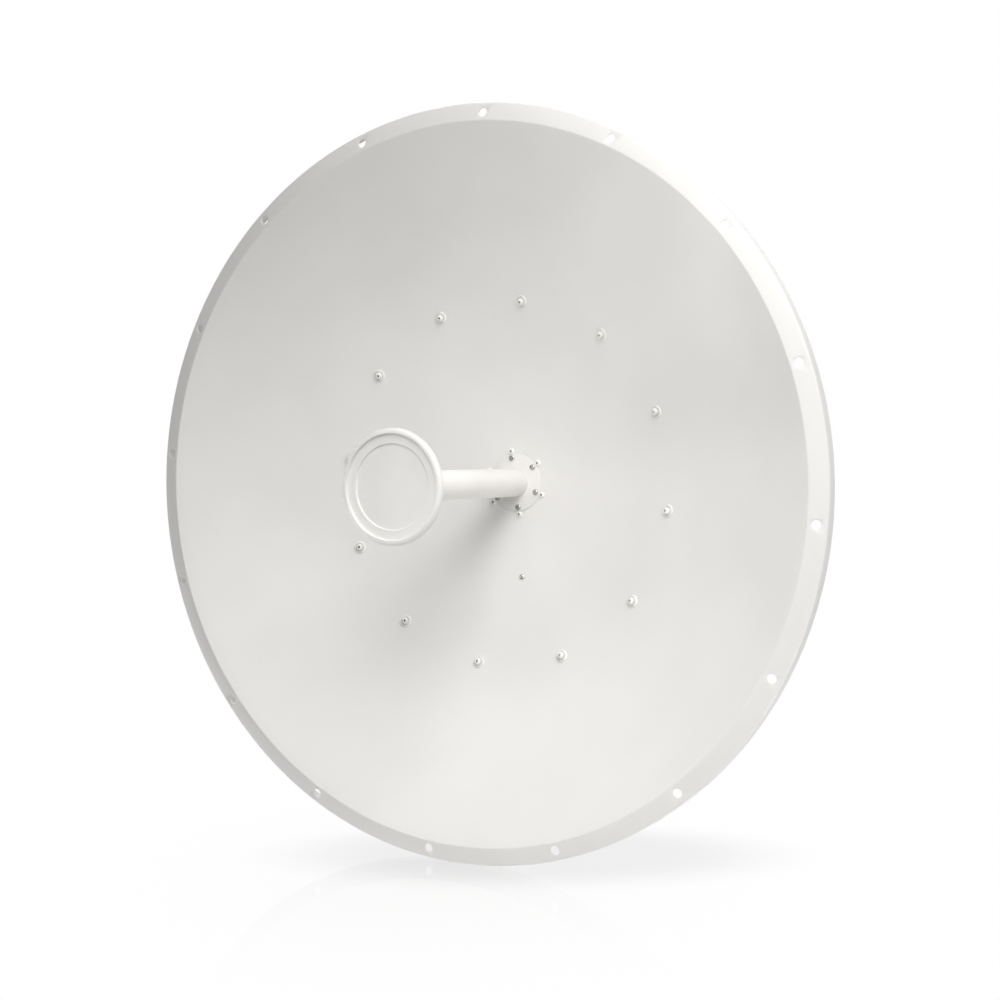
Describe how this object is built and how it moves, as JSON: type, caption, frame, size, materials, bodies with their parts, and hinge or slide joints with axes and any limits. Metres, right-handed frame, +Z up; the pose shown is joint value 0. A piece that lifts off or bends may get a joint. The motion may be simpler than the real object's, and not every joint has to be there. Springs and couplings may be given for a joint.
{
  "type": "dish antenna",
  "caption": "Parabolic dish antenna with a drilled rim flange, a central feed tube carrying a round sub-reflector, a stiffening ring and a tilting pole bracket behind it.",
  "frame": {"origin": "on the rear face of the pole bracket, level with the dish's axis and midway between the bracket's legs", "axes": "+Z up; the dish looks along -Y; +X to the right of someone who looks along +Y into the dish"},
  "size_m": [1.05, 0.5799, 1.05],
  "materials": {
    "dish_paint": "satin",
    "ring_paint": "satin",
    "frame_paint": "satin",
    "feed_paint": "satin",
    "disc_paint": "satin",
    "cone_plastic": "matte",
    "housing_plastic": "matte",
    "connector_plating": "satin",
    "galvanised_steel": "satin",
    "zinc_plate": "satin"
  },
  "bodies": {
    "root": {"reflector": "dish_paint", "stiffener_ring": "ring_paint", "hub_plate": "ring_paint", "feed_flange": "feed_paint", "feed_tube": "feed_paint", "feed_cone": "cone_plastic", "sub_reflector": "disc_paint", "feed_housing": "housing_plastic", "housing_cover": "housing_plastic", "rf_connector_left": "connector_plating", "rf_connector_right": "connector_plating", "upright_left": "frame_paint", "upright_right": "frame_paint", "cross_bar_upper": "frame_paint", "cross_bar_lower": "frame_paint", "elevation_ear_left": "galvanised_steel", "elevation_ear_right": "galvanised_steel", "pole_bracket": "galvanised_steel", "pole_saddle_upper": "galvanised_steel", "pole_saddle_lower": "galvanised_steel", "pole_clamp_upper": "galvanised_steel", "pole_clamp_lower": "galvanised_steel", "pivot_bolt_left": "zinc_plate", "pivot_bolt_right": "zinc_plate", "lock_bolt_left": "zinc_plate", "lock_bolt_right": "zinc_plate", "clamp_rod_upper_left": "zinc_plate", "clamp_rod_upper_right": "zinc_plate", "clamp_rod_lower_left": "zinc_plate", "clamp_rod_lower_right": "zinc_plate"}
  },
  "joints": []
}
